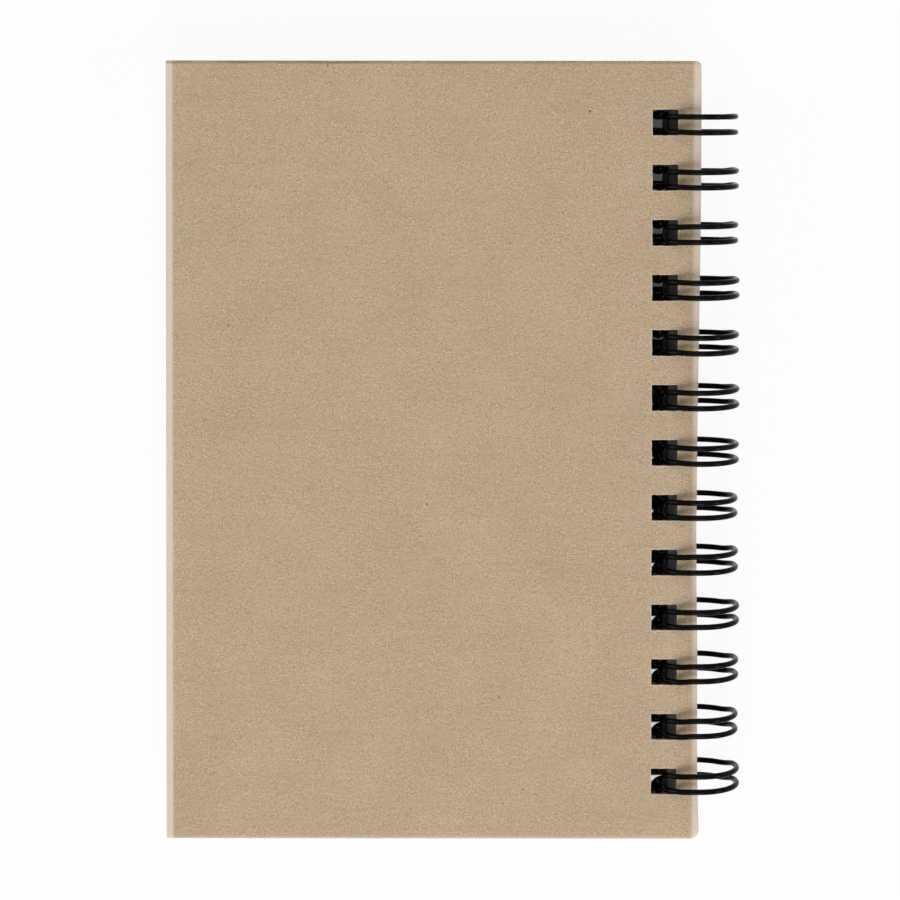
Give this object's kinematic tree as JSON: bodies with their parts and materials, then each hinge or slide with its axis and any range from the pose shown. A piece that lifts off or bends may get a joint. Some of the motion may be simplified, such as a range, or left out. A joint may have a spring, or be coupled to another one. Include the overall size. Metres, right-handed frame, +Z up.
{
  "type": "spiral notebook",
  "caption": "Pocket-size notebook with kraft board covers and blank sheets on a black twin-loop wire; both covers swing open round the loops.",
  "frame": {"origin": "middle of the underside of the whole notebook's box, as it lies closed with its back cover up", "axes": "+X from the fore edge to the spine, +Y to the head, +Z up through the sheets to the back cover"},
  "size_m": [0.1334, 0.18, 0.0203],
  "materials": {
    "kraft_board": "matt, uncoated kraft board with fine fibres",
    "sheets": "matt, uncoated blank sheets",
    "coated_wire": "glossy black plastic coat on steel wire"
  },
  "bodies": {
    "bound_block": {"page_block": "sheets", "binding_wire": "coated_wire"},
    "back_cover": {"back_cover": "kraft_board"},
    "front_cover": {"front_cover": "kraft_board"}
  },
  "joints": [
    {"name": "back_cover_hinge", "type": "hinge", "parent": "bound_block", "child": "back_cover", "pos_m": [0.0565, 0, 0.01013], "axis": [0, 1, 0], "range_deg": [0, 180]},
    {"name": "front_cover_hinge", "type": "hinge", "parent": "bound_block", "child": "front_cover", "pos_m": [0.0565, 0, 0.01013], "axis": [0, -1, 0], "range_deg": [0, 180]}
  ]
}
